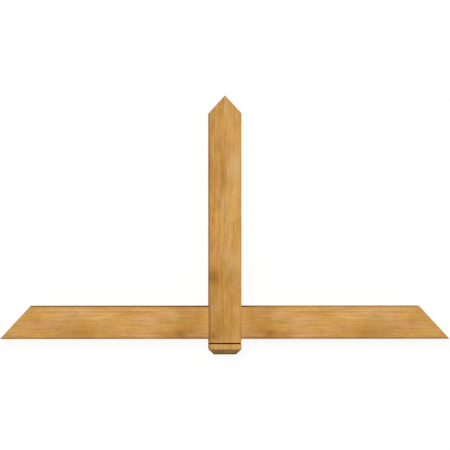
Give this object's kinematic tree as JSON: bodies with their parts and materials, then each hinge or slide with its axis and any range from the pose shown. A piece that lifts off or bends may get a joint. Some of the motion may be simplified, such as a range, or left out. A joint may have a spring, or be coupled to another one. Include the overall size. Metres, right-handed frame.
{
  "type": "timber gable bracket",
  "caption": "Timber gable bracket: a king post with a pitched peak and a chamfered, kerfed foot between two arms, cut to fit under the rakes of a gable roof.",
  "frame": {"origin": "on the back face, on the centreline of the king post, level with the underside of the arms: the middle of the base of the roof triangle", "axes": "+X along the right arm, +Y up the king post towards its peak, +Z out of the wall; the bracket lies on its back"},
  "size_m": [1.2192, 0.7029, 0.0889],
  "materials": {
    "post_timber": "planed softwood, clear honey-brown satin finish, grain along the post",
    "arm_timber": "planed softwood, clear honey-brown satin finish, grain along the arm"
  },
  "bodies": {
    "root": {"king_post": "post_timber", "left_arm": "arm_timber", "right_arm": "arm_timber"}
  },
  "joints": []
}
